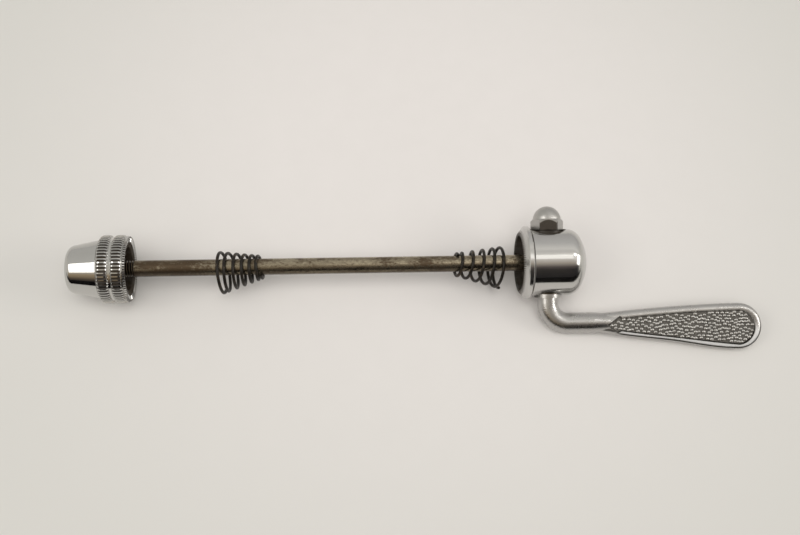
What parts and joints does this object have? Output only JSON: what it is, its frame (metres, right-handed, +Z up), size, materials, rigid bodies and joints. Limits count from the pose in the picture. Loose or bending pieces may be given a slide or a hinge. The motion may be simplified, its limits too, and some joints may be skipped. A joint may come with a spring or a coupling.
{
  "type": "quick release skewer",
  "caption": "Quick release skewer: thin threaded rod with a knurled adjusting nut, conical springs and a domed cap whose cam lever clamps a bicycle wheel into its frame.",
  "frame": {"origin": "on the rod's axis, in the plane of the clamp ring's tooth tips", "axes": "+X along the rod from the adjusting nut to the cap, +Z up from the table that the skewer lies on"},
  "size_m": [0.2131, 0.0427, 0.0227],
  "materials": {
    "rod_steel": "stained and rusted steel",
    "chrome": "polished chrome plate",
    "lever_chrome": "worn chrome plate",
    "plain_steel": "satin",
    "black_wire": "black, slightly glossy"
  },
  "bodies": {
    "cap": {"cap_body": "chrome", "clamp_ring": "chrome"},
    "lever": {"cam_lever": "lever_chrome", "acorn_nut": "plain_steel", "acorn_washer": "plain_steel"},
    "rod": {"skewer_rod": "rod_steel"},
    "nut": {"adjusting_nut": "chrome"},
    "nut_side_spring": {"nut_spring": "black_wire"},
    "lever_side_spring": {"lever_spring": "black_wire"}
  },
  "joints": [
    {"name": "lever_swing", "type": "hinge", "parent": "cap", "child": "lever", "pos_m": [0.0089, 0, 0], "axis": [0, 0.8969, 0.4423], "range_deg": [-87.38, 92.62]},
    {"name": "rod_draw", "type": "slide", "parent": "cap", "child": "rod", "axis": [1, 0, 0], "range_m": [-0.00107, 0.00114]},
    {"name": "nut_turn", "type": "hinge", "parent": "rod", "child": "nut", "pos_m": [-0.125, 0, 0], "axis": [1, 0, 0], "continuous": true},
    {"name": "nut_spring_slide", "type": "slide", "parent": "rod", "child": "nut_side_spring", "axis": [1, 0, 0], "range_m": [-0.024, 0.027]},
    {"name": "lever_spring_slide", "type": "slide", "parent": "rod", "child": "lever_side_spring", "axis": [1, 0, 0], "range_m": [-0.028, 0.0035]}
  ],
  "couplings": [
    {"joint": "rod_draw", "follows": "lever_swing", "m_per_rad": 0.00070028}
  ]
}
